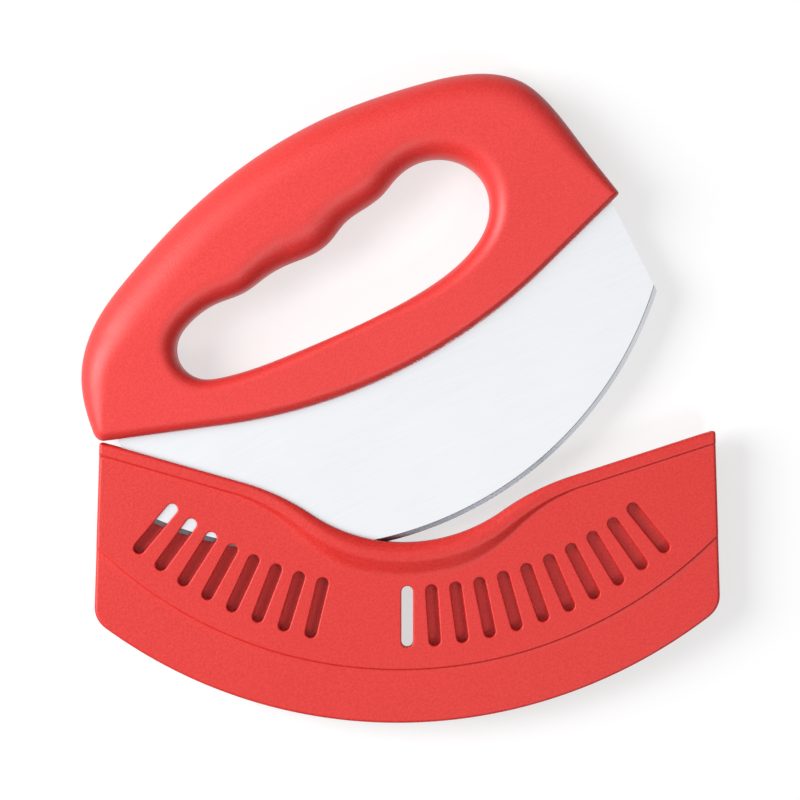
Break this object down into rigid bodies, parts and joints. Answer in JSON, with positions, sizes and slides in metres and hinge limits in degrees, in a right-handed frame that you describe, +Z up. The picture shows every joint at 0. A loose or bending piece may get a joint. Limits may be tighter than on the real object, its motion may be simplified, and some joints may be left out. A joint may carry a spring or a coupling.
{
  "type": "rocking pizza knife with sheath",
  "caption": "Rocking pizza knife with a curved steel blade and a closed finger-ridged plastic handle, partly swung out of its flat welded blade sheath.",
  "frame": {"origin": "middle of the footprint of the resting knife and sheath, on the surface that they lie on", "axes": "+X along the sheath to the right as pictured, +Y from the sheath's round bottom towards its mouth, +Z up, square to the blade's flat faces"},
  "size_m": [0.1862, 0.19, 0.02],
  "materials": {
    "red_plastic": "satin with a fine moulded grain",
    "blade_steel": "satin, brushed along the blade, edge ground on both faces",
    "pin_steel": "plain drawn pin"
  },
  "bodies": {
    "sheath": {"sheath_front_shell": "red_plastic", "sheath_rear_shell": "red_plastic"},
    "knife": {"blade": "blade_steel", "handle_front_shell": "red_plastic", "handle_rear_shell": "red_plastic", "tang_pins": "pin_steel"}
  },
  "joints": [
    {"name": "knife_swing", "type": "hinge", "parent": "sheath", "child": "knife", "pos_m": [-0.08823, -0.01514, 0.01], "axis": [0, 0, 1], "range_deg": [-23.58, 46.42]}
  ]
}
